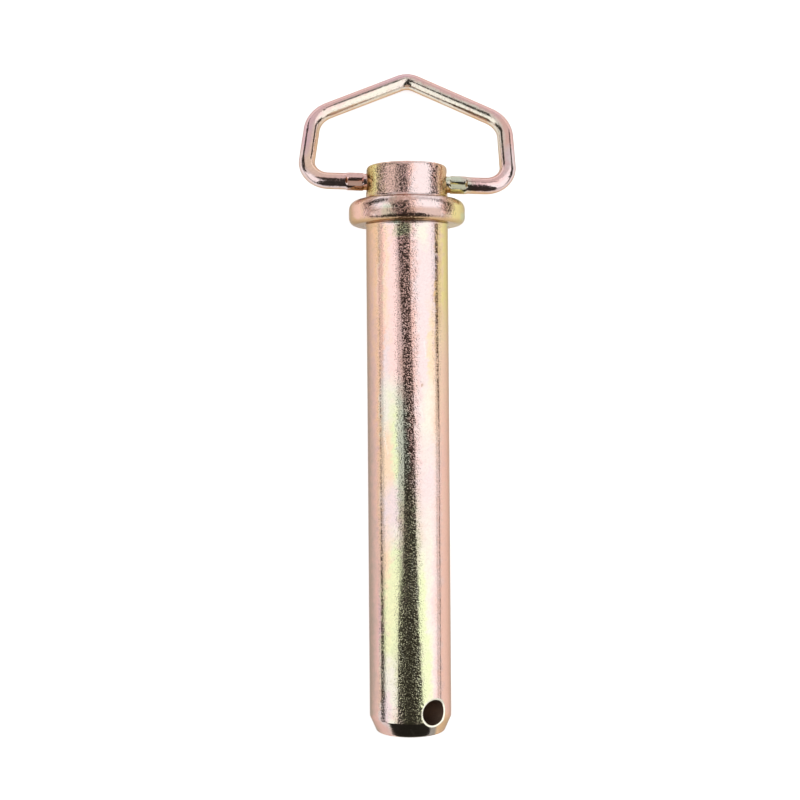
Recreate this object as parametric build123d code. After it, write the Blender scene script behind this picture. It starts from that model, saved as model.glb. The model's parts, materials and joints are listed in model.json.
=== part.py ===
from build123d import *
import os
from math import asin, atan2, cos, degrees, hypot, radians, sin

# Hitch pin of zinc-plated steel, lying on a table as it comes to rest.
# The pin is one forging, with a round shank, a collar and a head on one axis. A bent wire handle swings
# in a hole drilled across the head. Sizes are in millimetres and angles in degrees.

# Shank
shank_diameter = 25.4
clip_hole_diameter = 7.9
clip_hole_from_collar = 148.9      # the length of the pin that can be used
clip_hole_turn = 35.5              # how far round the pin the hole is drilled, from the top towards +X
clip_hole_bevel = 0.3
end_past_clip_hole = 7.45
tip_bevel_length = 4.6
tip_bevel_depth = 2.05
tip_edge_radius = 0.7

# Collar
collar_diameter = 36.0
collar_rim_height = 7.5            # from the underside to the top of the rim
collar_crown_height = 0.4          # how much the top slopes up from the rim to the head
collar_lower_radius = 2.3
collar_upper_radius = 3.0
collar_to_shank_radius = 0.7
collar_to_head_radius = 0.9

# Head
head_height = 18.3                 # from the collar's underside to the flat top
head_base_diameter = 25.4
head_top_diameter = 24.9
head_edge_radius = 1.2

# Handle
wire_diameter = 5.1
wire_play = 1.25                   # how much wider the hole in the head is than the wire
wire_end_gap = 3.0                 # between the two ends of the wire, inside the head
wire_end_bevel = 0.4
handle_from_collar = 13.1          # from the collar's underside to the line that the handle swings on
handle_corner_width = 63.6
handle_shoulder_width = 60.4
handle_shoulder_height = 24.25
handle_peak_height = 39.65
handle_peak_offset = -0.9          # the peak is bent a little off the middle
handle_corner_bend = 7.0
handle_shoulder_bend = 9.3
handle_peak_bend = 5.5
handle_crook = 2.4                 # the handle sits askew in its loose hole

# Each leg of the handle is pressed flat beside the head, so that it can't slide through
press_width = 5.75
press_thickness = 4.2
press_crown = 4.9                  # thickness that the oval would have without its two flats
press_length = 5.4
press_to_head = 0.6

# Radii that the sizes above give
shank_radius = shank_diameter / 2
collar_radius = collar_diameter / 2
head_base_radius = head_base_diameter / 2
head_top_radius = head_top_diameter / 2
wire_radius = wire_diameter / 2
pin_end = clip_hole_from_collar + end_past_clip_hole
bevel_start = pin_end - tip_bevel_length
collar_top = collar_rim_height + collar_crown_height

# At rest the rounded lower edge of the collar and the edge of the tip's bevel touch the table,
# so the pin slopes up towards its head.
contact_drop = collar_radius - collar_lower_radius - shank_radius
contact_span = bevel_start + collar_lower_radius
contact_distance = hypot(contact_span, contact_drop)
pin_slope = degrees(asin(collar_lower_radius / contact_distance) + atan2(contact_drop, contact_span))
table_below_axis = bevel_start * sin(radians(pin_slope)) + shank_radius * cos(radians(pin_slope))

# The handle hangs down from its hole until the bend at its peak lies on the table.
peak_slope = atan2(handle_peak_height - handle_shoulder_height, handle_shoulder_width / 2)
handle_reach = handle_peak_height - handle_peak_bend * (1 / cos(peak_slope) - 1)
swing_line_height = table_below_axis + handle_from_collar * sin(radians(pin_slope))
handle_lean = degrees(asin((swing_line_height - wire_radius) / handle_reach)) + pin_slope

# The pieces are modelled with the pin upright: its axis is Z, the head is up and the middle of the
# collar's underside is the origin. Then they are laid down, with the head towards +Y.
lying_down = Rot(X=pin_slope - 90)
handle_at_rest = Pos(Z=handle_from_collar) * Rot(Y=handle_crook) * Rot(X=-handle_lean)


def turned_blank():
    """The forging without its holes, turned from one outline with rounded corners."""
    tip_corner = (shank_radius - tip_bevel_depth, -pin_end)
    shank_corner = (shank_radius, 0)
    lower_rim = (collar_radius, 0)
    upper_rim = (collar_radius, collar_rim_height)
    head_foot = (head_base_radius, collar_top)
    head_edge = (head_top_radius, head_height)
    outline = [
        (0, -pin_end),
        tip_corner,
        (shank_radius, -bevel_start),
        shank_corner,
        lower_rim,
        upper_rim,
        head_foot,
        head_edge,
        (0, head_height),
    ]
    rounding = {
        tip_corner: tip_edge_radius,
        shank_corner: collar_to_shank_radius,
        lower_rim: collar_lower_radius,
        upper_rim: collar_upper_radius,
        head_foot: collar_to_head_radius,
        head_edge: head_edge_radius,
    }
    with BuildPart() as blank:
        with BuildSketch(Plane.XZ) as section:
            with BuildLine():
                Polyline(*outline, close=True)
            make_face()
            for corner, radius in rounding.items():
                fillet(section.vertices().sort_by_distance(corner)[0], radius)
        revolve(axis=Axis.Z)
    return blank.part


def drill_clip_hole(blank):
    """The blank with the hole for a clip across its shank, bevelled at both mouths."""
    drill = Cylinder(clip_hole_diameter / 2, 2 * shank_diameter)
    hole = Pos(Z=-clip_hole_from_collar) * Rot(Z=clip_hole_turn) * Rot(X=90) * drill
    drilled = blank - hole
    mouths = new_edges(blank, hole, combined=drilled)
    return chamfer(mouths, clip_hole_bevel)


def drill_handle_hole(blank):
    """The blank with the hole across its head that holds both legs of the handle."""
    drill = Cylinder((wire_diameter + wire_play) / 2, 2 * head_base_diameter)
    return blank - Pos(Z=handle_from_collar) * Rot(Y=90) * drill


def make_pin_body():
    return drill_handle_hole(drill_clip_hole(turned_blank()))


def make_wire():
    """The bent wire, in the XZ plane, with its legs on the X axis and its peak up."""
    corner = handle_corner_width / 2
    shoulder = handle_shoulder_width / 2
    corners = [
        (wire_end_gap / -2, 0),
        (-corner, 0),
        (-shoulder, handle_shoulder_height),
        (handle_peak_offset, handle_peak_height),
        (shoulder, handle_shoulder_height),
        (corner, 0),
        (wire_end_gap / 2, 0),
    ]
    bends = [
        handle_corner_bend,
        handle_shoulder_bend,
        handle_peak_bend,
        handle_shoulder_bend,
        handle_corner_bend,
    ]
    with BuildPart() as wire:
        with BuildLine(Plane.XZ) as route:
            FilletPolyline(*corners, radius=bends)
        with BuildSketch(Plane(origin=route.line @ 0, z_dir=route.line % 0)):
            Circle(wire_radius)
        sweep()
        wire_ends = wire.faces().filter_by(GeomType.PLANE)
        chamfer(wire_ends.edges(), wire_end_bevel)
    return wire.part


def press_flat(wire, side):
    """The wire with one leg pressed flat beside the head: side is -1 for the left leg, 1 for the right."""
    start = head_base_radius + press_to_head
    middle = Pos(X=side * (start + press_length / 2))
    round_stretch = Box(press_length, 2 * wire_diameter, 2 * wire_diameter)
    section = Ellipse(press_width / 2, press_crown / 2) & Rectangle(press_width, press_thickness)
    oval = Plane.YZ * Rot(Z=90) * section
    pressed = extrude(oval, press_length / 2, both=True)
    return wire - middle * round_stretch + middle * pressed


def make_swivel_handle():
    handle = make_wire()
    for side in (-1, 1):
        handle = press_flat(handle, side)
    return handle_at_rest * handle


os.makedirs("parts", exist_ok=True)
pieces = {"pin_body": make_pin_body(), "swivel_handle": make_swivel_handle()}
for name, piece in pieces.items():
    export_step(lying_down * piece, f"parts/{name}.step")
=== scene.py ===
import json
import random
from math import acos, atan2, ceil, cos, degrees, hypot, pi, radians, sin, sqrt, tan

import bpy
from mathutils import Matrix, Vector, noise


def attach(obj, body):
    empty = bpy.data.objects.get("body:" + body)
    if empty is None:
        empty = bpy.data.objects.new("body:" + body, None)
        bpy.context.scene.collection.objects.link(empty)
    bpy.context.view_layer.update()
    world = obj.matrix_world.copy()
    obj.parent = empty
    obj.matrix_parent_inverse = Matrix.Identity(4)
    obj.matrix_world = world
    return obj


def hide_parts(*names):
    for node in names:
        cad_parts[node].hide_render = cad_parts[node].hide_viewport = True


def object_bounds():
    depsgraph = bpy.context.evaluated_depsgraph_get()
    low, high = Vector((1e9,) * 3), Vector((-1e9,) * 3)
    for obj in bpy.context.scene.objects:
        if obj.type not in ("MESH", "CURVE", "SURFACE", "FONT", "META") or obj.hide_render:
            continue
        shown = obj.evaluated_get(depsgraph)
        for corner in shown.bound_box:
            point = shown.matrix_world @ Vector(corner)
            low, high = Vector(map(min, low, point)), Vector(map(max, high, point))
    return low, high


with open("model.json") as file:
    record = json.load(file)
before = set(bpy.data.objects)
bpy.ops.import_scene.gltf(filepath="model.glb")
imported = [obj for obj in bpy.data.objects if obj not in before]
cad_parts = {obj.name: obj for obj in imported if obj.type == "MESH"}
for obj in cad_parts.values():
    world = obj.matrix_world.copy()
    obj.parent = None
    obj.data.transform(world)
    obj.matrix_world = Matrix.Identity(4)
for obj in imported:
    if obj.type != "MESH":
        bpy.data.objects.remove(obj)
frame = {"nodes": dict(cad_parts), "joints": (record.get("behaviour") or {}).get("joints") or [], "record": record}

# A hitch pin of yellow zinc-plated steel, seen from straight above, on a white floor in a white light tent.
# Sizes of the piece are in millimetres until MM turns them into the frame's metres.
MM = 0.001

cad_low, cad_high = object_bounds()

# One seed for the pits' places and for the noise that frays the film's patches, so that all runs are alike
SEED = 7
rng = random.Random(SEED)
noise.seed_set(SEED)

# Sizes of the pin, from its tip to its head. Places along it are counted from the collar's underside.
SHANK_RADIUS = 12.7
PIN_END = 156.35
BEVEL_LENGTH = 4.6
BEVEL_DEPTH = 2.05
BEVEL_START = BEVEL_LENGTH - PIN_END
COLLAR_RADIUS = 18.0
COLLAR_RIM = 7.5
COLLAR_TOP = 7.9
HEAD_BASE_RADIUS = 12.7
HEAD_TOP_RADIUS = 12.45
HEAD_HEIGHT = 18.3

# Radii of the pin's rounded edges and corners
TIP_EDGE = 0.7
BEVEL_EDGE = 0.5
COLLAR_FOOT = 0.7
COLLAR_LOWER_EDGE = 2.3
COLLAR_UPPER_EDGE = 3.0
HEAD_FOOT = 0.9
HEAD_EDGE = 1.2

# The holes, how far their mouths are broken, and how far below the rim the bore's wall, painted dark as shade,
# starts
CLIP_MOUTH_WIDTH = 0.5
CLIP_MOUTH_DEPTH = 0.3
HANDLE_HOLE_RADIUS = 3.175
HANDLE_MOUTH_WIDTH = 0.15
HANDLE_MOUTH_DEPTH = 0.15
SHADED_WALL_START = 0.12

# Sizes of the handle. Its wire is 0.003 thinner than the solid's, to stay inside the part's box.
WIRE_RADIUS = 2.547
WIRE_END_GAP = 3.0
WIRE_END_BEVEL = 0.4
CORNER_WIDTH = 63.6
SHOULDER_WIDTH = 60.4
SHOULDER_HEIGHT = 24.25
PEAK_HEIGHT = 39.65
PEAK_OFFSET = -0.9
CORNER_BEND = 7.0
SHOULDER_BEND = 9.3
PEAK_BEND = 5.5
PRESS_START = 13.3
PRESS_LENGTH = 5.4
PRESS_WIDTH = 5.75
PRESS_THICKNESS = 4.2
PRESS_CROWN = 4.9
PRESS_RAMP = 0.35
IMPRINT_START = 0.2
IMPRINT_RAMP = 0.35
IMPRINT_DEPTH = 0.75

# How finely the surfaces are divided
PIN_COLUMNS = 192
COLUMN_STEP = 2 * pi / PIN_COLUMNS
PIN_STEP = 0.45
CORNER_STEP = 0.22
HOLE_RINGS = 6
BORE_RINGS = 18
WIRE_COLUMNS = 56
WIRE_STEP = 0.4
SHARP_DEGREES = 40

# The square of the pin's mesh that gives way to rings round each hole: half its columns, and its reach
# along the pin
CLIP_HALF_COLUMNS = 12
CLIP_REACH = 4.9
HANDLE_HALF_COLUMNS = 9
HANDLE_REACH = 3.8

# The pin's own directions in the row frame, taken from its mounts and its joint
mounts = {mount["name"]: mount for mount in frame["record"]["mounts"]}
swivel = frame["joints"][0]
head_way = -Vector(mounts["shank"]["axis"])
side_way = Vector((1, 0, 0))
top_way = side_way.cross(head_way)
clip_way = Vector(mounts["clip_hole"]["axis"])
clip_centre = Vector(mounts["clip_hole"]["pos_m"]) / MM
clip_radius = mounts["clip_hole"]["dims"]["r_mm"]
clip_turn = atan2(clip_way.dot(side_way), clip_way.dot(top_way))
clip_along = clip_centre.dot(head_way)
hinge = Vector(swivel["pos_m"]) / MM
hinge_along = hinge.dot(head_way)


def clipped(value):
    """The value, held within 0 and 1."""
    return max(0, min(1, value))


def stripe(turn, middle, fade, reach):
    """How fully a place lies in a stripe, in degrees: its soft edges are one fade wide, and end at as many
    fades from its middle as reach says."""
    return clipped(reach - abs(turn - middle) / fade)


def rounded_path(corners, step, bend_step):
    """Points along a flat path through corners of (across, along, radius), rounded by arcs."""
    points = []
    last = corners[0]
    run_start = (last[0], last[1])
    for before, corner, after in zip(corners, corners[1:], corners[2:]):
        here = Vector(corner[:2])
        back = (Vector(before[:2]) - here).normalized()
        onward = (Vector(after[:2]) - here).normalized()
        half = acos(max(-1, min(1, back.dot(onward)))) / 2
        reach = corner[2] / tan(half)
        start, end = here + back * reach, here + onward * reach
        centre = here + (back + onward).normalized() * (corner[2] / sin(half))
        points += straight(run_start, start, step)
        first = atan2(*(start - centre).yx)
        turn = (atan2(*(end - centre).yx) - first + pi) % (2 * pi) - pi
        pieces = max(2, ceil(abs(turn) * corner[2] / bend_step))
        for k in range(pieces):
            angle = first + turn * k / pieces
            points.append((centre.x + corner[2] * cos(angle), centre.y + corner[2] * sin(angle)))
        run_start = tuple(end)
    points += straight(run_start, corners[-1][:2], step)
    points.append(tuple(corners[-1][:2]))
    return points


def straight(start, end, step):
    """Even points from start up to, but not including, end."""
    length = hypot(end[0] - start[0], end[1] - start[1])
    pieces = max(1, ceil(length / step))
    return [(start[0] + (end[0] - start[0]) * k / pieces, start[1] + (end[1] - start[1]) * k / pieces)
            for k in range(pieces)]


def pin_outline():
    """The pin's outline as (radius, along) rows, from the middle of its tip to the middle of its head."""
    corners = [
        (0, -PIN_END, 0),
        (SHANK_RADIUS - BEVEL_DEPTH, -PIN_END, TIP_EDGE),
        (SHANK_RADIUS, BEVEL_START, BEVEL_EDGE),
        (SHANK_RADIUS, 0, COLLAR_FOOT),
        (COLLAR_RADIUS, 0, COLLAR_LOWER_EDGE),
        (COLLAR_RADIUS, COLLAR_RIM, COLLAR_UPPER_EDGE),
        (HEAD_BASE_RADIUS, COLLAR_TOP, HEAD_FOOT),
        (HEAD_TOP_RADIUS, HEAD_HEIGHT, HEAD_EDGE),
        (0, HEAD_HEIGHT, 0),
    ]
    return rounded_path(corners, PIN_STEP, CORNER_STEP)


def outward(rows, index):
    """The outline's outward normal at a row, as (radial, along)."""
    before = rows[max(index - 1, 0)]
    after = rows[min(index + 1, len(rows) - 1)]
    across, along = after[0] - before[0], after[1] - before[1]
    length = hypot(across, along)
    return along / length, -across / length


def radius_at(rows, along):
    """The pin's radius at a height, where the outline climbs steadily."""
    for (r0, a0), (r1, a1) in zip(rows, rows[1:]):
        if a0 <= along <= a1 and a1 > a0:
            return r0 + (r1 - r0) * (along - a0) / (a1 - a0)
    raise ValueError("the outline has no radius there")


# Sizes and depths of the skin's waves, ripples and grit. The ripples are deeper where the skin is forged.
WAVE_SIZE = 7.0
WAVE_DEPTH = 0.014
RIPPLE_SIZE = 1.4
RIPPLE_DEPTH = 0.003
FORGED_RIPPLE_DEPTH = 0.022
GRIT_SIZE = 0.8
GRIT_DEPTH = 0.005

# Dents and pits: degrees round and distance along the pin, radius and depth. Three show in the photograph,
# and the others are spread at random.
SPREAD_PITS = 40
PITS = [(16, -48.5, 0.9, 0.12), (-15, -61.5, 0.6, 0.10), (43, 17.4, 1.1, 0.30)]
PITS += [(rng.uniform(-180, 180), rng.uniform(-150, -4), rng.uniform(0.3, 0.6), rng.uniform(0.02, 0.05))
         for _ in range(SPREAD_PITS)]

# The raised rim of a pit: its height as a share of the pit's depth, and its middle and half width as shares
# of the pit's radius
PIT_RIM_HEIGHT = 0.25
PIT_RIM_MIDDLE = 1.2
PIT_RIM_HALF_WIDTH = 0.4

# Scratches: the two ends, each as degrees round and distance along
SCRATCH_HALF_WIDTH = 0.4
SCRATCH_DEPTH = 0.03
SCRATCH_OVERRUN = 0.2
SCRATCHES = [
    (22, -36, 25, -41), (10, -47, 17, -56), (17, -57, 20, -60), (6, -100, 2, -107), (-1, -109, 5, -114),
    (4, -118, -3, -126), (9, -110, 11, -116), (-21, -92, -18, -93.5), (-18, -93.5, -22, -95),
    (12, -128, 8, -134), (0, -153.5, 6, -156), (14, -139, 9, -143), (-14, -128, -8, -132),
    (3, -135, 9, -138), (-36, -64, -30, -70), (7, -60, 12, -66), (9, -28, 15, -33),
    (140, -40, 152, -52), (-150, -90, -141, -97), (-96, -60, -90, -71),
]


def relief(turn, radius, along):
    """How far the forged and turned surface lies below its nominal size there."""
    place = Vector((radius * sin(turn), radius * cos(turn), along))
    waves = 0.5 + 0.5 * noise.noise(place / WAVE_SIZE)
    ripple = 1 - abs(noise.noise(place / RIPPLE_SIZE + Vector((9, 4, 2))))
    grit = 0.5 + 0.5 * noise.noise(place / GRIT_SIZE)
    ripple_depth = RIPPLE_DEPTH + FORGED_RIPPLE_DEPTH * past_collar_foot(along)
    depth = WAVE_DEPTH * waves + ripple_depth * ripple + GRIT_DEPTH * grit
    for pit_turn, pit_along, size, deep in PITS:
        if abs(along - pit_along) < 2 * size:
            share = hypot(turned_by(turn, pit_turn) * radius, along - pit_along) / size
            if share < 2:
                rim = max(0, 1 - abs(share - PIT_RIM_MIDDLE) / PIT_RIM_HALF_WIDTH)
                depth += deep * (max(0, 1 - share * share) - PIT_RIM_HEIGHT * rim)
    depth += SCRATCH_DEPTH * scratched(turn, radius, along)
    return max(depth, 0)


def past_collar_foot(along):
    """0 on the turned shank and 1 on the forged collar and head."""
    return clipped((along + 1) / 2)


def scratched(turn, radius, along):
    """How fully a place lies in a scratch: 1 in its middle, 0 beside it."""
    share = 0.0
    for first_turn, first_along, last_turn, last_along in SCRATCHES:
        if last_along - SCRATCH_OVERRUN < along < first_along + SCRATCH_OVERRUN:
            passed = clipped((first_along - along) / (first_along - last_along))
            gap = turned_by(turn, first_turn + (last_turn - first_turn) * passed) * radius
            share = max(share, 1 - abs(gap) / SCRATCH_HALF_WIDTH)
    return share


def turned_by(turn, degrees_round):
    """The angle from a place given in degrees round the pin, within half a turn either way."""
    return (turn - radians(degrees_round) + pi) % (2 * pi) - pi


class Shell:
    """A growing mesh in the pin's own millimetres, laid down into the row frame when it is built."""

    def __init__(self):
        self.points = []
        self.faces = []
        self.films = []
        self.forged = []
        self.grain = []

    def add(self, point, film=None):
        """A new point, whose film is painted later where it isn't given. Returns its number."""
        self.points.append(point)
        self.films.append(film)
        self.forged.append(0.0)
        self.grain.append(1.0)
        return len(self.points) - 1

    def strip(self, outer, inner):
        """Quads between two rings of the same length; outer runs anticlockwise seen from outside."""
        for k in range(len(outer)):
            after = (k + 1) % len(outer)
            self.faces.append((outer[k], outer[after], inner[after], inner[k]))

    def build(self, name):
        """The finished piece, without the points that no face uses."""
        used = sorted({corner for face in self.faces for corner in face})
        renumbered = {old: new for new, old in enumerate(used)}
        mesh = bpy.data.meshes.new(name)
        mesh.from_pydata([self.points[old] * MM for old in used], [],
                         [tuple(renumbered[corner] for corner in face) for face in self.faces])
        films = mesh.attributes.new("film", "FLOAT_COLOR", "POINT")
        films.data.foreach_set("color", [part for old in used for part in plated(self.films[old])])
        forged = mesh.attributes.new("forged", "FLOAT", "POINT")
        forged.data.foreach_set("value", [self.forged[old] for old in used])
        grain = mesh.attributes.new("grain", "FLOAT", "POINT")
        grain.data.foreach_set("value", [self.grain[old] for old in used])
        mesh.shade_smooth()
        mesh.set_sharp_from_angle(angle=radians(SHARP_DEGREES))
        piece = bpy.data.objects.new(name, mesh)
        bpy.context.scene.collection.objects.link(piece)
        return piece


def plated(film):
    """The film's colour, with a last part that is 0 on a bore's wall, painted dark as shade, and 1 elsewhere."""
    return (*film, 0.0 if film == BORE_SHADE else 1.0)


def pin_point(radius, turn, along):
    """A point of the pin in the row frame; turn is 0 on top and grows towards +X."""
    return side_way * (radius * sin(turn)) + top_way * (radius * cos(turn)) + head_way * along


def surface_point(turn, radius, along, normal):
    """A point of the pin's outer surface, lowered by the surface's relief."""
    depth = relief(turn, radius, along)
    return pin_point(radius - normal[0] * depth, turn, along - normal[1] * depth)


def column_turn(column, along):
    """The angle of a mesh column. Columns twist slightly along the shank, so that one meets both holes."""
    twist = clip_turn - round(clip_turn / COLUMN_STEP) * COLUMN_STEP
    return column * COLUMN_STEP + twist * clipped(along / clip_along)


class CrossHole:
    """A hole drilled across the pin's axis, with the square of the pin's mesh that gives way to it."""

    def __init__(self, turn, along, radius, mouth_width, mouth_depth, rim, half_columns, reach):
        self.turn = turn
        self.along = along
        self.radius = radius
        self.mouth_width = mouth_width
        self.mouth_depth = mouth_depth
        self.rim = rim
        self.half_columns = half_columns
        self.reach = reach
        self.column = round(turn / COLUMN_STEP)
        self.way = pin_point(1, turn, 0)
        self.across_way = pin_point(1, turn + pi / 2, 0)


def drill(shell, rows, grid, hole):
    """Opens one cross hole: replaces a square of the grid at both mouths by rings round the hole,
    and joins the mouths by the bore's wall. Returns the grid's cells that gave way."""
    inside = [i for i, (radius, along) in enumerate(rows) if abs(along - hole.along) < hole.reach]
    low, high = inside[0], inside[-1]
    half = hole.half_columns
    loop = [(low, k) for k in range(-half, half)]
    loop += [(i, half) for i in range(low, high)]
    loop += [(high, k) for k in range(half, -half, -1)]
    loop += [(i, -half) for i in range(high, low, -1)]
    near = open_mouth(shell, rows, grid, hole, loop, 1)
    far = open_mouth(shell, rows, grid, hole, [(i, -k) for i, k in loop], -1)
    ring = near
    # The bore's wall is painted dark as shade.
    for step in range(1, BORE_RINGS):
        share = step / BORE_RINGS
        inner = [shell.add(shell.points[a].lerp(shell.points[b], share), BORE_SHADE) for a, b in zip(near, far)]
        join(shell, ring, inner, 1)
        ring = inner
    join(shell, ring, far, 1)
    given_way = set()
    for column in (hole.column, hole.column + PIN_COLUMNS // 2):
        given_way |= {(i, (column + k) % PIN_COLUMNS) for i in range(low, high) for k in range(-half, half)}
    return given_way


def open_mouth(shell, rows, grid, hole, loop, side):
    """Rings from a loop of the grid in to one mouth of a hole, and its broken edge. Side is 1 at the near
    mouth and -1 at the far one. Returns the first ring of the bore's wall, which is painted dark as shade."""
    column = hole.column if side > 0 else hole.column + PIN_COLUMNS // 2
    ring = [grid[i][(column + k) % PIN_COLUMNS] for i, k in loop]
    places = []
    rims = []
    for i, k in loop:
        radius, height = rows[i]
        swing = column_turn(k, height) - column_turn(0, height)
        across, along = radius * sin(swing), height - hole.along
        size = hypot(across, along)
        places.append((across, along))
        rims.append((across / size, along / size))
    mouth = hole.radius + hole.mouth_width
    for step in range(1, HOLE_RINGS + 1):
        share = step / HOLE_RINGS
        film = hole.rim if step == HOLE_RINGS else None
        inner = []
        for (across, along), (rim_across, rim_along) in zip(places, rims):
            a = across + (rim_across * mouth - across) * share
            b = along + (rim_along * mouth - along) * share
            inner.append(shell.add(mouth_point(rows, hole, side, a, b, 0), film))
        join(shell, ring, inner, side)
        ring = inner
    for depth, film in ((hole.mouth_depth, hole.rim), (hole.mouth_depth + SHADED_WALL_START, BORE_SHADE)):
        inner = [shell.add(mouth_point(rows, hole, side, a * hole.radius, b * hole.radius, depth), film)
                 for a, b in rims]
        join(shell, ring, inner, side)
        ring = inner
    return ring


def join(shell, outer, inner, side):
    """A strip between two rings, turned over where the ring runs the other way round."""
    if side > 0:
        shell.strip(outer, inner)
    else:
        shell.strip(outer[::-1], inner[::-1])


def mouth_point(rows, hole, side, across, along, depth):
    """A point of the surface round a hole, given across and along its axis, and a depth down the bore."""
    height = hole.along + along
    radius = radius_at(rows, height)
    rise = sqrt(radius * radius - across * across)
    turn = hole.turn + (0 if side > 0 else pi)
    swing = atan2(across, rise)
    sunk = 0 if depth else relief(turn + side * swing, radius, height)
    return hole.way * (side * (rise - depth - sunk)) + hole.across_way * across + head_way * height


def make_pin():
    """The turned pin, opened by its two cross holes and closed by a fan of faces at each end."""
    rows = pin_outline()
    shell = Shell()
    grid = [None]
    for i in range(1, len(rows) - 1):
        radius, along = rows[i]
        normal = outward(rows, i)
        grid.append([shell.add(surface_point(column_turn(j, along), radius, along, normal))
                     for j in range(PIN_COLUMNS)])
    grid.append(None)
    tip = shell.add(pin_point(0, 0, rows[0][1]))
    top = shell.add(pin_point(0, 0, rows[-1][1]))
    clip_hole = CrossHole(clip_turn, clip_along, clip_radius, CLIP_MOUTH_WIDTH, CLIP_MOUTH_DEPTH, RIM,
                          CLIP_HALF_COLUMNS, CLIP_REACH)
    handle_hole = CrossHole(pi / 2, hinge_along, HANDLE_HOLE_RADIUS, HANDLE_MOUTH_WIDTH, HANDLE_MOUTH_DEPTH,
                            TAN, HANDLE_HALF_COLUMNS, HANDLE_REACH)
    given_way = drill(shell, rows, grid, clip_hole) | drill(shell, rows, grid, handle_hole)
    for i in range(1, len(rows) - 2):
        for j in range(PIN_COLUMNS):
            if (i, j) not in given_way:
                after = (j + 1) % PIN_COLUMNS
                shell.faces.append((grid[i][j], grid[i][after], grid[i + 1][after], grid[i + 1][j]))
    for j in range(PIN_COLUMNS):
        after = (j + 1) % PIN_COLUMNS
        shell.faces.append((tip, grid[1][after], grid[1][j]))
        shell.faces.append((top, grid[-2][j], grid[-2][after]))
    paint_pin(shell)
    return shell.build("plated_pin")


# The flat faces at the pin's ends: how deep and how wide their edges are, and how strong their grain is
END_FACE_DEPTH = 0.3
END_FACE_FADE = 1.5
END_FACE_GRAIN = 0.6

# Painted dark reflections on the collar's rim, in brown: a crescent at its lower edge and three patches above it.
# The three are given as middle and half width in degrees round the pin.
CRESCENT_HEIGHT = 2.2
COLLAR_REFLECTION_HEIGHT = 5.4
COLLAR_REFLECTIONS = [(-40, 6), (-8, 7), (46, 6)]
COLLAR_REFLECTION_STRENGTH = 0.55

# The painted dark reflection round the bevel's top: its edges in degrees round the pin, how far each slants
# across the bevel, how soft they are and how dark the patch is
BEVEL_REFLECTION_LEFT = -35
BEVEL_REFLECTION_LEFT_SLANT = 13
BEVEL_REFLECTION_RIGHT = 41
BEVEL_REFLECTION_RIGHT_SLANT = 5
BEVEL_REFLECTION_FADE = 5
BEVEL_REFLECTION_STRENGTH = 0.9

# How pale the scratches are, and how strong the grain is on the turned bevel
SCRAPED_STRENGTH = 0.3
BEVEL_GRAIN = 0.12


def paint_pin(shell):
    """Gives each point of the pin its film colour, how forged it looks and how strong its grain is."""
    for k, point in enumerate(shell.points):
        across, up, along = point.dot(side_way), point.dot(top_way), point.dot(head_way)
        reach = max(1.0, hypot(across, up))
        turn = atan2(across, up)
        on_face = on_end_face(reach, along)
        if shell.films[k] is None:
            shell.films[k] = blended(pin_film(turn, reach, along, point), end_face_color(point), on_face)
        forged = forged_share(degrees(turn), along)
        grain = grain_share(degrees(turn), along)
        shell.forged[k] = forged + (1 - forged) * on_face
        shell.grain[k] = grain + (END_FACE_GRAIN - grain) * on_face


def pin_film(turn, reach, along, point):
    """The film's colour on the pin: its patches, a painted dark reflection round the bevel, painted shade and gold
    under the collar, painted dark reflections on the collar's rim, and the scratches.
    """
    color = film_color(turn, along, reach, PIN_PATCHES, PIN_DRIFT)
    # A dark reflection is painted round the bevel's top.
    if along < BEVEL_START:
        color = blended(color, DARK_REFLECTION, bevel_dark_reflection(degrees(turn), along))
    # Painted shade darkens the collar's underside beside the shank.
    if reach > SHANK_RADIUS + 0.5 and along < COLLAR_RIM / 2:
        color = blended(color, underside_film_and_shade(degrees(turn), reach), clipped(1.7 - along / 0.8))
    # Dark reflections are painted on the collar's rim.
    if reach > SHANK_RADIUS + 1 and along < COLLAR_TOP:
        color = blended(color, BROWN, collar_dark_reflection(degrees(turn), along, point))
    return blended(color, SCRAPED, SCRAPED_STRENGTH * scratched(turn, reach, along))


def underside_film_and_shade(turn, reach):
    """The film under the collar: darker beside the shank as painted shade, and golden on the right."""
    tone = blended(UMBER, TAN, (reach - SHANK_RADIUS) / (COLLAR_RADIUS - SHANK_RADIUS))
    return blended(tone, GOLD, clipped(turn / 40 - 1))


def on_end_face(reach, along):
    """1 on the flat faces at the pin's two ends, 0 away from them."""
    if -PIN_END + END_FACE_DEPTH < along < HEAD_HEIGHT - END_FACE_DEPTH:
        return 0
    return clipped((SHANK_RADIUS - BEVEL_DEPTH - reach) / END_FACE_FADE)


def end_face_color(point):
    """Soft blotches of the film on a flat end, by place and not by angle."""
    blotch = noise.noise(point / 4.5)
    color = blended(ROSE, GOLD if blotch > 0 else LILAC, min(1, abs(blotch) * 2.2))
    return blended(color, SILVER, clipped(0.5 + noise.noise(point / 2.0 + Vector((3, 1, 8)))) * 0.5)


def collar_dark_reflection(turn, along, point):
    """How brown the film is on the collar's rim, where its dark reflections are painted."""
    wobble = noise.noise(point / 1.5)
    share = min(1, 2.2 - abs(along - CRESCENT_HEIGHT) / 0.8, 5 - abs(turn) / (9 + 3 * wobble))
    for middle, half in COLLAR_REFLECTIONS:
        round_it = 3 - abs(turn - middle) / (half / 2) + 2 * wobble
        share = max(share, min(0.8, round_it, 2.6 - abs(along - COLLAR_REFLECTION_HEIGHT) / 0.9))
    return max(0, COLLAR_REFLECTION_STRENGTH * share)


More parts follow.
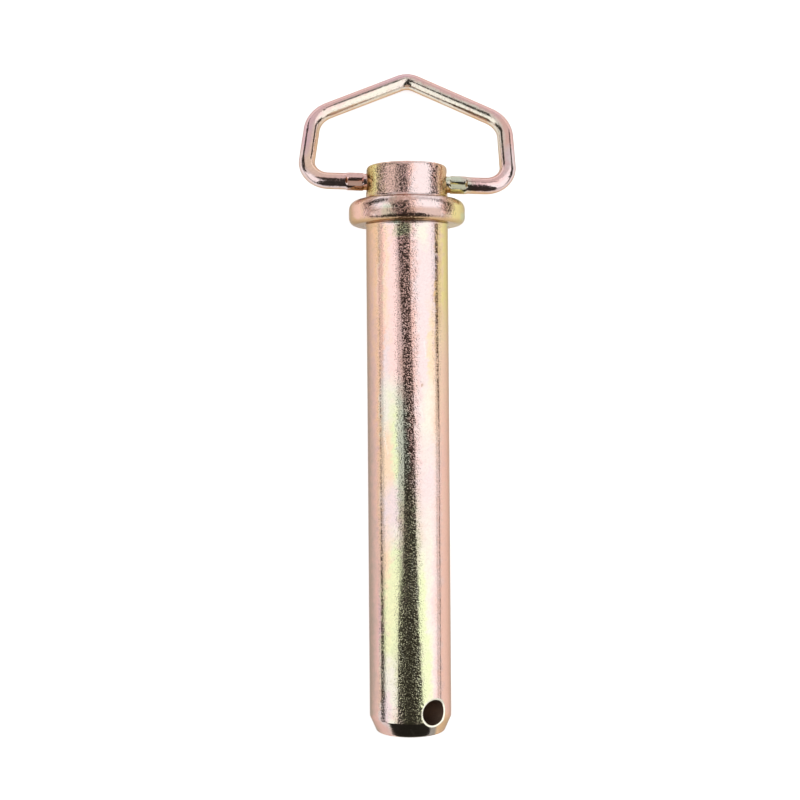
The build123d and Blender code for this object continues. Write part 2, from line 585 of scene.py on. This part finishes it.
def bevel_dark_reflection(turn, along):
    """How dark the painted reflection is round the bevel's top, between edges that slant across it."""
    share = (BEVEL_START - along) / BEVEL_LENGTH
    left = BEVEL_REFLECTION_LEFT + BEVEL_REFLECTION_LEFT_SLANT * share
    right = BEVEL_REFLECTION_RIGHT + BEVEL_REFLECTION_RIGHT_SLANT * share
    return max(0, min(BEVEL_REFLECTION_STRENGTH, (turn - left) / BEVEL_REFLECTION_FADE, (right - turn) / BEVEL_REFLECTION_FADE))


def forged_share(turn, along):
    """How forged the skin looks: on the collar and head, with more on their left, and on the left of the
    shank's last stretch below the collar."""
    near_collar = 0.6 * max(0, 1 + along / 14) * stripe(turn, -38, 16, 2.2)
    share = max(near_collar, past_collar_foot(along))
    if along > COLLAR_TOP:
        share += 0.8 * stripe(turn, -26, 18, 2)
    return share


def grain_share(turn, along):
    """How strong the grain is: faint on the turned bevel, fine where the skin was rubbed smooth along the
    shank, and coarser on top near the collar and on the head."""
    if along < BEVEL_START:
        return BEVEL_GRAIN
    near_collar = clipped((along + 80) / 30)
    on_top = stripe(turn, -1, 9, 2.2) * (0.55 + 0.6 * near_collar)
    on_right = 1.9 * stripe(turn, 44, 4, 2.5) * clipped((along + 50) / 15)
    on_left = 0.15 * stripe(turn, -34, 7, 3)
    coarse = 0.30 + on_top + on_right + on_left
    if along > 0:
        return 0.35 + 0.35 * coarse
    return coarse


# Painted shade on the pressed legs' imprint, and a painted dark reflection, a thin line on the left top bar,
# between two distances along the wire and at an angle round its section in degrees
IMPRINT_SHADE_STRENGTH = 0.75
TOP_LINE_START = 57
TOP_LINE_END = 80
TOP_LINE_ANGLE = 80
TOP_LINE_FADE = 6.5
TOP_LINE_STRENGTH = 0.65


def make_handle():
    """The bent wire, swept from one end to the other: u runs along the leg and v towards the peak."""
    lean = radians(sum(swivel["range_deg"]) / 2)
    leg_way = Vector(swivel["axis"])
    upright = (head_way - leg_way * head_way.dot(leg_way)).normalized()
    peak_way = Matrix.Rotation(-lean, 3, leg_way) @ upright
    face_way = leg_way.cross(peak_way)
    corners = [
        (-WIRE_END_GAP / 2, 0, 0),
        (-CORNER_WIDTH / 2, 0, CORNER_BEND),
        (-SHOULDER_WIDTH / 2, SHOULDER_HEIGHT, SHOULDER_BEND),
        (PEAK_OFFSET, PEAK_HEIGHT, PEAK_BEND),
        (SHOULDER_WIDTH / 2, SHOULDER_HEIGHT, SHOULDER_BEND),
        (CORNER_WIDTH / 2, 0, CORNER_BEND),
        (WIRE_END_GAP / 2, 0, 0),
    ]
    route = rounded_path(corners, WIRE_STEP, WIRE_STEP)
    shell = Shell()
    rings = []
    passed = 0.0
    for k, (u, v) in enumerate(route):
        before, after = route[max(k - 1, 0)], route[min(k + 1, len(route) - 1)]
        passed += hypot(u - before[0], v - before[1])
        along = Vector((after[0] - before[0], after[1] - before[1])).normalized()
        inward = leg_way * along.y - peak_way * along.x
        middle = hinge + leg_way * u + peak_way * v
        on_leg = v < 0.01
        pressed = pressed_share(abs(u)) if on_leg else 0
        ring = []
        for j in range(WIRE_COLUMNS):
            angle = 2 * pi * j / WIRE_COLUMNS
            wide, thick = wire_section(angle, pressed)
            # The painted shade on the imprint is brown on the left leg and olive on the right.
            film = wire_film(angle, passed, pressed, BROWN if u < 0 else OLIVE)
            ring.append(shell.add(middle + inward * wide + face_way * thick, film))
        rings.append(ring)
    for one, other in zip(rings, rings[1:]):
        shell.strip(other, one)
    for ring, flip in ((rings[0], False), (rings[-1], True)):
        close_end(shell, ring, flip)
    return shell.build("bent_handle")


def wire_film(angle, passed, pressed, imprint_shade):
    """The film's colour on the wire, at an angle round its section and a distance along it, with painted shade on
    the pressed imprint and a painted dark reflection on the left top bar.
    """
    film = film_color(angle, passed, WIRE_RADIUS, WIRE_PATCHES, WIRE_DRIFT)
    # Painted shade on the outer side of a pressed leg's imprint.
    if pressed > 0.9 and cos(angle) < -0.2:
        film = blended(film, imprint_shade, IMPRINT_SHADE_STRENGTH)
    # A painted reflection: a thin dark line along the left top bar.
    if TOP_LINE_START < passed < TOP_LINE_END:
        line = stripe(degrees(angle), TOP_LINE_ANGLE, TOP_LINE_FADE, 1.6)
        film = blended(film, DARK_REFLECTION, TOP_LINE_STRENGTH * line)
    return film


def pressed_share(distance):
    """How fully the leg is pressed flat at a distance from the pin's axis: 0 round, 1 flat."""
    rise = (distance - PRESS_START) / PRESS_RAMP
    fall = (PRESS_START + PRESS_LENGTH - distance) / PRESS_RAMP
    return max(0, min(1, rise, fall))


def wire_section(angle, pressed):
    """A point of the wire's section: round, or an oval with two flats where it is pressed."""
    wide, thick = WIRE_RADIUS * cos(angle), WIRE_RADIUS * sin(angle)
    if pressed:
        oval_wide = PRESS_WIDTH / 2 * cos(angle)
        step = clipped((-oval_wide - IMPRINT_START) / IMPRINT_RAMP)
        flat = PRESS_THICKNESS / 2 - IMPRINT_DEPTH * step
        oval = max(-flat, min(flat, PRESS_CROWN / 2 * sin(angle)))
        wide += (oval_wide - wide) * pressed
        thick += (oval - thick) * pressed
    return wide, thick


def close_end(shell, ring, flip):
    """A wire end with a small bevel and a flat face."""
    points = [shell.points[k] for k in ring]
    centre = sum(points, Vector()) / len(points)
    shrunk = (WIRE_RADIUS - WIRE_END_BEVEL) / WIRE_RADIUS
    outer = list(ring)
    for share in (shrunk, shrunk * 0.5):
        inner = [shell.add(centre.lerp(point, share), SILVER) for point in points]
        if flip:
            shell.strip(inner, outer)
        else:
            shell.strip(outer, inner)
        outer = inner
    middle = shell.add(centre, SILVER)
    for k in range(len(outer)):
        after = (k + 1) % len(outer)
        pair = (outer[after], outer[k]) if flip else (outer[k], outer[after])
        shell.faces.append((middle,) + pair)


# Colours of the yellow passivated film on the zinc, as it breaks up into soft patches and streaks
TAN = (0.69, 0.46, 0.27)
OCHRE = (0.42, 0.27, 0.08)
UMBER = (0.50, 0.30, 0.12)
GOLD = (0.78, 0.66, 0.30)
PEACH = (0.81, 0.60, 0.43)
SALMON = (0.84, 0.53, 0.43)
PINK = (0.74, 0.48, 0.45)
ROSE = (0.74, 0.47, 0.41)
BLUSH = (0.75, 0.61, 0.60)
ROSY = (0.86, 0.60, 0.56)
KHAKI = (0.62, 0.49, 0.26)
LILAC = (0.69, 0.46, 0.49)
MAUVE = (0.55, 0.41, 0.35)
CREAM = (0.75, 0.70, 0.60)
MINT = (0.71, 0.74, 0.46)
LIME = (0.74, 0.73, 0.45)
OLIVE = (0.58, 0.56, 0.38)
SILVER = (0.62, 0.64, 0.52)
# A dark tone for painted reflections, round the bevel's top and on the wire's left top bar
DARK_REFLECTION = (0.28, 0.26, 0.23)
BROWN = (0.40, 0.22, 0.14)
CLAY = (0.60, 0.40, 0.34)
AMBER = (0.84, 0.54, 0.29)
SCRAPED = (0.88, 0.88, 0.82)
# Painted shade inside the holes' bores
BORE_SHADE = (0.32, 0.23, 0.18)
RIM = (0.85, 0.82, 0.68)

# Patches of the film: degrees round the pin from its top, distance along it, half width in degrees, half
# length and colour. Later patches lie over earlier ones.
PIN_PATCHES = [
    (-78, -20, 38, 70, TAN),
    (-92, -30, 14, 50, KHAKI),
    (-66, -30, 20, 60, TAN),
    (-50, -30, 8, 50, AMBER),
    (-62, -95, 14, 80, ROSE),
    (-84, -115, 24, 80, MAUVE),
    (-27, -10, 16, 16, BLUSH),
    (-29, -22, 6, 60, PEACH),
    (-18, -32, 11, 42, ROSY),
    (-34, -45, 7, 12, BLUSH),
    (-40, -20, 4.5, 26, SALMON),
    (-26, -60, 14, 11, CREAM),
    (-18, -72, 9, 14, MINT),
    (-34, -78, 8, 12, PEACH),
    (-24, -92, 14, 12, BLUSH),
    (-34, -110, 8, 14, PEACH),
    (-20, -113, 10, 14, MINT),
    (-28, -126, 13, 16, LIME),
    (-18, -134, 8, 12, MINT),
    (-27, -146, 15, 12, CREAM),
    (-38, -150, 7, 5, BLUSH),
    (4, -30, 12, 50, ROSE),
    # The olive patch at -6 degrees and -2 along is painted shade where the shank meets the collar's underside.
    (-6, -2, 12, 3.5, OLIVE),
    (-8, -70, 8, 16, SILVER),
    (4, -112, 14, 30, OLIVE),
    (2, -142, 18, 26, OLIVE),
    (27, -25, 16, 70, BLUSH),
    # The brown patch at 18 degrees and -49.7 along is painted shade in the pit there.
    (18, -49.7, 2.2, 0.6, BROWN),
    (22, -3, 8, 4, CREAM),
    (34, -50, 6, 22, PEACH),
    (32, -64, 12, 14, CREAM),
    (34, -90, 14, 22, BLUSH),
    (27, -122, 12, 30, CREAM),
    (42, -125, 9, 34, BLUSH),
    (18, -117, 6, 14, MINT),
    (20, -142, 8, 14, MINT),
    (47, -28, 5, 26, TAN),
    (77, -18, 24, 30, GOLD),
    (74, -50, 30, 18, PEACH),
    (73, -115, 29, 60, SALMON),
    (88, -100, 9, 54, PEACH),
    (-60, -154, 36, 2.8, ROSE),
    (56, -154, 26, 2.8, TAN),
    (-74, 13, 32, 5.6, OCHRE),
    (-53, 13, 12, 5.6, GOLD),
    (-26, 13, 18, 5.6, CLAY),
    (26, 13, 18, 5.6, BLUSH),
    (48, 13, 10, 5.6, ROSE),
    (72, 13, 22, 5.6, TAN),
    (-64, 4, 18, 4.2, TAN),
    (-62, 5, 10, 3, SALMON),
    (-40, 5, 9, 2.5, ROSE),
    (-26, 5, 10, 4, BLUSH),
    (-17, 4, 6, 2.5, SILVER),
    (28, 5, 16, 4.5, BLUSH),
    (44, 5, 8, 3, ROSE),
    (68, 4, 18, 4.2, GOLD),
    (76, 2, 9, 2, MINT),
]

# The same for the wire: degrees round its section from the inner side, distance along it from one end
WIRE_PATCHES = [
    (0, 90, 34, 100, TAN),
    (180, 90, 34, 100, TAN),
    (120, 50, 50, 14, LILAC),
    (100, 70, 55, 18, PINK),
    (125, 82, 40, 10, LILAC),
    (125, 96, 40, 8, ROSE),
    (100, 104, 55, 12, PINK),
    (110, 132, 50, 16, LILAC),
    (95, 122, 40, 6, ROSE),
    (40, 76, 34, 26, CREAM),
    (40, 84, 24, 7, BLUSH),
    (40, 104, 34, 24, CREAM),
    (70, 12, 60, 8, PINK),
    (80, 154, 80, 5, SILVER),
    (150, 24, 30, 12, BLUSH),
    (120, 136, 40, 8, BLUSH),
    (60, 144, 40, 7, PINK),
]

# The film's streaks across and along a piece, the sizes of the three noises that fray the patches' edges,
# and where a patch has faded out, in half widths from its middle. The two drifts keep the noises of the two
# pieces apart.
STREAK_WIDTH = 5.5
STREAK_LENGTH = 22.0
SWAY_SIZE = 8.0
FLUTTER_SIZE = 1.8
SCATTER_SIZE = 0.7
PATCH_FADE = 1.4
PIN_DRIFT = 0.0
WIRE_DRIFT = 40.0


def blended(one, other, share):
    """A colour between two others: the first at a share of 0, the other at 1."""
    return tuple(a + (b - a) * share for a, b in zip(one, other))


def film_color(turn, along, reach, patches, drift):
    """The film's colour at an angle and a distance along a piece; reach is the piece's radius."""
    place = Vector((turn * reach, along, drift))
    streak = noise.noise(Vector((place.x / STREAK_WIDTH, place.y / STREAK_LENGTH, drift)))
    color = blended(PINK, PEACH if streak > 0 else LILAC, min(1, abs(streak) * 1.8))
    sway = noise.noise_vector(place / SWAY_SIZE)
    flutter = noise.noise_vector(place / FLUTTER_SIZE)
    scatter = noise.noise_vector(place / SCATTER_SIZE)
    frayed = sway.x * 6 + flutter.x * 4 + scatter.x * 3
    round_it = degrees(turn) + frayed * (SHANK_RADIUS / reach) ** 0.5
    along += sway.y * 5 + flutter.y * 1.5 + scatter.y * 0.6
    for middle, height, half_turn, half_length, tone in patches:
        across = abs((round_it - middle + 180) % 360 - 180) / half_turn
        down = abs(along - height) / half_length
        if across < PATCH_FADE and down < PATCH_FADE:
            cover = (1 - (across / PATCH_FADE) ** 2) * (1 - (down / PATCH_FADE) ** 2)
            color = blended(color, tone, clipped(cover * (1.3 + 0.7 * flutter.z)))
    return color


# Tint of the metal's reflections where it is seen at a flat angle
EDGE_TINT = (0.62, 0.58, 0.52)


class Material:
    """A plated steel material, whose nodes are added one by one."""

    def __init__(self, name):
        self.made = bpy.data.materials.new(name)
        self.made.use_nodes = True
        self.nodes = self.made.node_tree.nodes
        self.links = self.made.node_tree.links
        self.shader = self.nodes["Principled BSDF"]
        self.shader.inputs["Metallic"].default_value = 1.0
        self.shader.inputs["Specular Tint"].default_value = (*EDGE_TINT, 1)
        self.place = self.nodes.new("ShaderNodeTexCoord").outputs["Object"]

    def cloud(self, scale, detail):
        """Soft noise, whose values lie about 0.5."""
        texture = self.nodes.new("ShaderNodeTexNoise")
        texture.inputs["Scale"].default_value = scale
        texture.inputs["Detail"].default_value = detail
        self.links.new(self.place, texture.inputs["Vector"])
        return texture.outputs["Fac"]

    def ramp(self, value, stops):
        """Colours along a value, from stops of (position, colour)."""
        node = self.nodes.new("ShaderNodeValToRGB")
        elements = node.color_ramp.elements
        while len(elements) < len(stops):
            elements.new(0.5)
        for element, (position, color) in zip(elements, stops):
            element.position = position
            element.color = (*color, 1)
        self.links.new(value, node.inputs["Fac"])
        return node.outputs["Color"]

    def spread(self, value, low, high):
        """A cloud's values, which mostly lie within 0.3 and 0.7, spread from low to high."""
        node = self.nodes.new("ShaderNodeMapRange")
        node.inputs["From Min"].default_value = 0.3
        node.inputs["From Max"].default_value = 0.7
        node.inputs["To Min"].default_value = low
        node.inputs["To Max"].default_value = high
        self.links.new(value, node.inputs["Value"])
        return node.outputs["Result"]

    def attribute(self, name):
        node = self.nodes.new("ShaderNodeAttribute")
        node.attribute_name = name
        return node

    def scaled(self, color, value):
        node = self.nodes.new("ShaderNodeVectorMath")
        node.operation = "SCALE"
        self.links.new(color, node.inputs[0])
        self.links.new(value, node.inputs["Scale"])
        return node.outputs["Vector"]

    def bump(self, height, distance, before=None):
        """A bump of the given height, laid over an earlier one if there is one."""
        node = self.nodes.new("ShaderNodeBump")
        node.inputs["Distance"].default_value = distance
        self.links.new(height, node.inputs["Height"])
        if before:
            self.links.new(before, node.inputs["Normal"])
        return node.outputs["Normal"]

    def math(self, operation, *values):
        """One math node; a value is a socket or a plain number."""
        node = self.nodes.new("ShaderNodeMath")
        node.operation = operation
        for socket, value in zip(node.inputs, values):
            if isinstance(value, (int, float)):
                socket.default_value = value
            else:
                self.links.new(value, socket)
        return node.outputs["Value"]

    def join(self, output, socket):
        self.links.new(output, self.shader.inputs[socket])


# Noise scales of the metal, in waves per metre, and how its grain is drawn from them
FILM_SCALE = 90
GLOSS_SCALE = 800
WORM_SCALE = 1000
TINGE_SCALE = 1500
SPECK_SCALE = 2400
SPECK_LEVEL = 0.53
WORM_THINNESS = 9.0
SPECK_SHARE = 6
WORM_SHARE = 0.6
GLOSS = (0.07, 0.12)
TINGE = (0.96, 1.03)
BORE_ROUGHNESS = 0.5

# How deep the grain is on the pin, on the handle and on a node that nothing replaces, in metres
PIN_GRAIN = 0.000034
HANDLE_GRAIN = 0.000012
PLAIN_GRAIN = 0.00005


def plated_metal(name, painted, grain):
    """Plated steel with a fine grain that makes its reflections glitter. Painted pieces carry the film's
    colours in their mesh, and the others take them from noise."""
    metal = Material(name)
    if painted:
        film = metal.attribute("film").outputs["Color"]
    else:
        stops = [(0.30, PEACH), (0.42, PINK), (0.55, BLUSH), (0.66, CREAM), (0.75, LIME)]
        film = metal.ramp(metal.cloud(FILM_SCALE, 2.0), stops)
    metal.join(metal.scaled(film, metal.spread(metal.cloud(TINGE_SCALE, 2.0), *TINGE)), "Base Color")
    gloss = metal.spread(metal.cloud(GLOSS_SCALE, 2.0), *GLOSS)
    specks = metal.math("MAXIMUM", metal.cloud(SPECK_SCALE, 1.0), SPECK_LEVEL)
    specks = metal.math("SUBTRACT", specks, SPECK_LEVEL)
    worms = metal.math("ABSOLUTE", metal.math("SUBTRACT", metal.cloud(WORM_SCALE, 1.0), 0.5))
    worms = metal.math("SUBTRACT", 1.0, metal.math("MULTIPLY", worms, WORM_THINNESS))
    worms = metal.math("MAXIMUM", worms, 0.0)
    if painted:
        specks = metal.math("MULTIPLY", specks, metal.attribute("grain").outputs["Fac"])
        worms = metal.math("MULTIPLY", worms, metal.attribute("forged").outputs["Fac"])
        # A bore's wall, painted dark as shade, is also rougher.
        in_bore = metal.math("SUBTRACT", 1.0, metal.attribute("film").outputs["Alpha"])
        gloss = metal.math("ADD", gloss, metal.math("MULTIPLY", in_bore, BORE_ROUGHNESS))
    metal.join(gloss, "Roughness")
    skin = metal.bump(specks, grain * SPECK_SHARE)
    metal.join(metal.bump(worms, grain * WORM_SHARE, skin), "Normal")
    return metal.made


def dress(piece, node, body, material):
    """Puts a finished piece in the place of a node."""
    piece.data.materials.append(material)
    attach(piece, body)
    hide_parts(node)


pin = make_pin()
handle = make_handle()
dress(pin, "pin_body", "pin", plated_metal("plated_forging", True, PIN_GRAIN))
dress(handle, "swivel_handle", "handle", plated_metal("plated_wire", True, HANDLE_GRAIN))
plain_steel = plated_metal("plated_steel", False, PLAIN_GRAIN)
for node in frame["nodes"].values():
    node.data.materials.clear()
    node.data.materials.append(plain_steel)

# The floor is white. What it glows by on top of its own light depends on who looks: the camera sees a full
# white, which only the pin's shadow darkens, and the metal sees a floor that is just white.
FLOOR_COLOR = (0.8, 0.8, 0.8)
CAMERA_LIFT = 0.70
METAL_LIFT = 0.50
FLOOR_SIZE = 3.0


def stage_mesh(name, points, faces, material):
    """A piece of the stage, which isn't part of the object."""
    mesh = bpy.data.meshes.new(name)
    mesh.from_pydata(points, [], faces)
    piece = bpy.data.objects.new(name, mesh)
    mesh.materials.append(material)
    bpy.context.scene.collection.objects.link(piece)
    return piece


def floor_material():
    """A matt floor with a glow that the camera and the metal see, and that lights nothing else."""
    material = bpy.data.materials.new("white_floor")
    material.use_nodes = True
    nodes, links = material.node_tree.nodes, material.node_tree.links
    nodes.clear()
    matt = nodes.new("ShaderNodeBsdfDiffuse")
    matt.inputs["Color"].default_value = (*FLOOR_COLOR, 1)
    glow = nodes.new("ShaderNodeEmission")
    both = nodes.new("ShaderNodeAddShader")
    output = nodes.new("ShaderNodeOutputMaterial")
    path = nodes.new("ShaderNodeLightPath")
    strength = None
    for kind, lift in (("Is Camera Ray", CAMERA_LIFT), ("Is Glossy Ray", METAL_LIFT),
                       ("Is Transmission Ray", METAL_LIFT)):
        share = nodes.new("ShaderNodeMath")
        share.operation = "MULTIPLY"
        share.inputs[1].default_value = lift
        links.new(path.outputs[kind], share.inputs[0])
        if strength is None:
            strength = share.outputs["Value"]
            continue
        either = nodes.new("ShaderNodeMath")
        either.operation = "MAXIMUM"
        links.new(strength, either.inputs[0])
        links.new(share.outputs["Value"], either.inputs[1])
        strength = either.outputs["Value"]
    links.new(strength, glow.inputs["Strength"])
    links.new(matt.outputs["BSDF"], both.inputs[0])
    links.new(glow.outputs["Emission"], both.inputs[1])
    links.new(both.outputs["Shader"], output.inputs["Surface"])
    return material


floor_z = cad_low.z
floor_corners = [(x * FLOOR_SIZE, y * FLOOR_SIZE, floor_z) for x, y in ((-1, -1), (1, -1), (1, 1), (-1, 1))]
stage_mesh("floor", floor_corners, [(0, 1, 2, 3)], floor_material())


def dark_card_material(name, color):
    """Matt card."""
    material = bpy.data.materials.new(name)
    material.use_nodes = True
    shader = material.node_tree.nodes["Principled BSDF"]
    shader.inputs["Base Color"].default_value = (*color, 1)
    shader.inputs["Roughness"].default_value = 0.9
    return material


def card_piece(name, points, material):
    """A card from pairs of points, one pair a row, that the camera doesn't see."""
    faces = [(k, k + 1, k + 3, k + 2) for k in range(0, len(points) - 2, 2)]
    piece = stage_mesh(name, points, faces, material)
    piece.visible_camera = False
    return piece


# Dark cards hang and stand in the tent, and the camera doesn't see them. The pin's dark bands are their
# reflections. The places and heights of the cards are in metres, in the frame.
dark_card = dark_card_material("dark_card", (0.055, 0.047, 0.040))
brown_card = dark_card_material("brown_card", (0.09, 0.062, 0.045))

# The two hung cards: distance along the pin, height, left edge and right edge
HUNG_HEIGHT = 0.60
OVERHEAD_ROWS = [
    (0.400, HUNG_HEIGHT, -0.110, 0.035),
    (0.250, HUNG_HEIGHT, -0.200, 0.035),
    (0.128, HUNG_HEIGHT, -0.400, 0.040),
    (0.119, HUNG_HEIGHT, -0.350, -0.010),
    (0.112, HUNG_HEIGHT, -0.370, 0.005),
    (0.100, HUNG_HEIGHT, -0.380, 0.028),
    (0.070, HUNG_HEIGHT, -0.305, 0.068),
    (0.033, HUNG_HEIGHT, -0.270, 0.080),
    (0.003, HUNG_HEIGHT, -0.235, 0.086),
    (-0.026, HUNG_HEIGHT, -0.190, 0.105),
    (-0.055, HUNG_HEIGHT, -0.155, 0.126),
    (-0.084, HUNG_HEIGHT, -0.155, 0.170),
    (-0.142, HUNG_HEIGHT, -0.142, 0.200),
    (-0.172, HUNG_HEIGHT, -0.156, 0.210),
    (-0.200, HUNG_HEIGHT, -0.188, 0.225),
    (-0.230, HUNG_HEIGHT, -0.290, 0.250),
    (-0.259, HUNG_HEIGHT, -0.385, 0.278),
    (-0.370, HUNG_HEIGHT, -0.460, 0.470),
    (-0.450, 0.58, -0.500, 0.520),
    (-0.700, 0.35, -0.700, 0.580),
    (-0.800, 0.04, -0.800, 0.560),
]
LAMP_EDGE_ROWS = [
    (0.730, HUNG_HEIGHT, 0.000, 0.100),
    (0.620, HUNG_HEIGHT, 0.030, 0.150),
    (0.540, HUNG_HEIGHT, 0.080, 0.190),
    (0.450, HUNG_HEIGHT, 0.150, 0.250),
    (0.380, HUNG_HEIGHT, 0.240, 0.310),
]


def hung_card(name, rows, material):
    card_piece(name, [(x, y, z) for y, z, left, right in rows for x in (left, right)], material)


hung_card("overhead_card", OVERHEAD_ROWS, dark_card)
hung_card("lamp_edge_card", LAMP_EDGE_ROWS, dark_card)

# The standing cards beside the pin draw the thin dark line near each edge of the shank and head, and the
# two at the back draw the dark lines of the handle's sides. Those beside the pin are given as the distance
# along it and the heights of the lower and upper edge. The right one is cut into three.
SIDE_DISTANCE = 0.209
CARD_FOOT = -0.0179
RIGHT_ROWS = [
    (-0.300, CARD_FOOT, -0.007),
    (-0.070, CARD_FOOT, -0.004),
    (-0.020, -0.0100, 0.030),
    (0.020, -0.0100, 0.034),
    (0.030, CARD_FOOT, 0.050),
    (0.044, CARD_FOOT, 0.088),
    (0.120, CARD_FOOT, 0.080),
]
LEFT_ROWS = [
    (-0.300, -0.010, 0.060),
    (-0.185, -0.002, 0.048),
    (-0.142, 0.008, 0.041),
    (-0.112, 0.017, 0.0335),
    (-0.050, 0.0205, 0.0295),
    (-0.015, 0.0235, 0.0265),
    (0.030, 0.0235, 0.0265),
    (0.038, 0.010, 0.060),
    (0.048, 0.000, 0.115),
    (0.120, 0.000, 0.100),
]

# The two cards at the back: place on the floor plan, and height of the upper edge. The lower edge is at 0.
BACK_LEFT_ROWS = [(-0.58, 0.15, 0.16), (-0.48, 0.33, 0.34), (-0.30, 0.50, 0.30)]
BACK_RIGHT_ROWS = [(0.60, 0.08, 0.10), (0.53, 0.30, 0.22), (0.38, 0.46, 0.18)]


def standing_card(name, points, material):
    """A card that casts no shadow and doesn't darken the floor."""
    piece = card_piece(name, points, material)
    piece.visible_shadow = False
    piece.visible_diffuse = False


def side_card(name, x, rows, material):
    standing_card(name, [(x, y, z) for y, low, high in rows for z in (low, high)], material)


def back_card(name, rows, material):
    standing_card(name, [(x, y, z) for x, y, high in rows for z in (0, high)], material)


side_card("right_low_card", SIDE_DISTANCE, RIGHT_ROWS[:2], dark_card)
side_card("right_card", SIDE_DISTANCE, RIGHT_ROWS[1:4], brown_card)
side_card("right_back_card", SIDE_DISTANCE, RIGHT_ROWS[3:], dark_card)
side_card("left_card", -SIDE_DISTANCE, LEFT_ROWS, dark_card)
back_card("back_left_card", BACK_LEFT_ROWS, dark_card)
back_card("back_right_card", BACK_RIGHT_ROWS, dark_card)

# A white tent all round, and two soft boxes that make its right and its left side brighter
TENT_BRIGHTNESS = 0.85
world = bpy.data.worlds.new("white_tent")
world.use_nodes = True
world.node_tree.nodes["Background"].inputs["Color"].default_value = (1, 1, 1, 1)
world.node_tree.nodes["Background"].inputs["Strength"].default_value = TENT_BRIGHTNESS
bpy.context.scene.world = world


def soft_box(name, width, length, location, target, brightness):
    """A rectangular light that faces its target, with the brightness that a reflection of it shows."""
    light = bpy.data.lights.new(name, "AREA")
    light.shape = "RECTANGLE"
    light.size = width
    light.size_y = length
    light.energy = brightness * pi * width * length
    lamp = bpy.data.objects.new(name, light)
    lamp.location = location
    lamp.rotation_euler = (Vector(target) - Vector(location)).to_track_quat("-Z", "Y").to_euler()
    bpy.context.scene.collection.objects.link(lamp)
    lamp.visible_camera = False


soft_box("right_soft_box", width=1.68, length=1.33, location=(0.588, 0.05, 0.61), target=(0, 0.05, -0.03),
         brightness=0.52)
soft_box("left_soft_box", width=1.20, length=0.86, location=(-0.864, -0.30, 0.67), target=(0, -0.30, -0.10),
         brightness=0.42)

# The camera looks almost straight down, from where the photograph was taken: its lens and sensor width in
# millimetres, its place in the piece's millimetres, and its tilt and turn in degrees.
LENS = 60.94
SENSOR = 36.0
CAMERA_PLACE = (-2.559, -63.52, 418.14)
CAMERA_TILT = 1.309
CAMERA_TURN = -0.432
camera = bpy.data.cameras.new("camera")
camera.lens = LENS
camera.sensor_width = SENSOR
viewer = bpy.data.objects.new("camera", camera)
camera_place = Matrix.Translation(Vector(CAMERA_PLACE) * MM)
camera_tilt = Matrix.Rotation(radians(CAMERA_TILT), 4, "X")
camera_turn = Matrix.Rotation(radians(CAMERA_TURN), 4, "Z")
viewer.matrix_world = camera_place @ camera_tilt @ camera_turn
bpy.context.scene.collection.objects.link(viewer)
bpy.context.scene.camera = viewer

bpy.context.scene.view_settings.view_transform = "Standard"
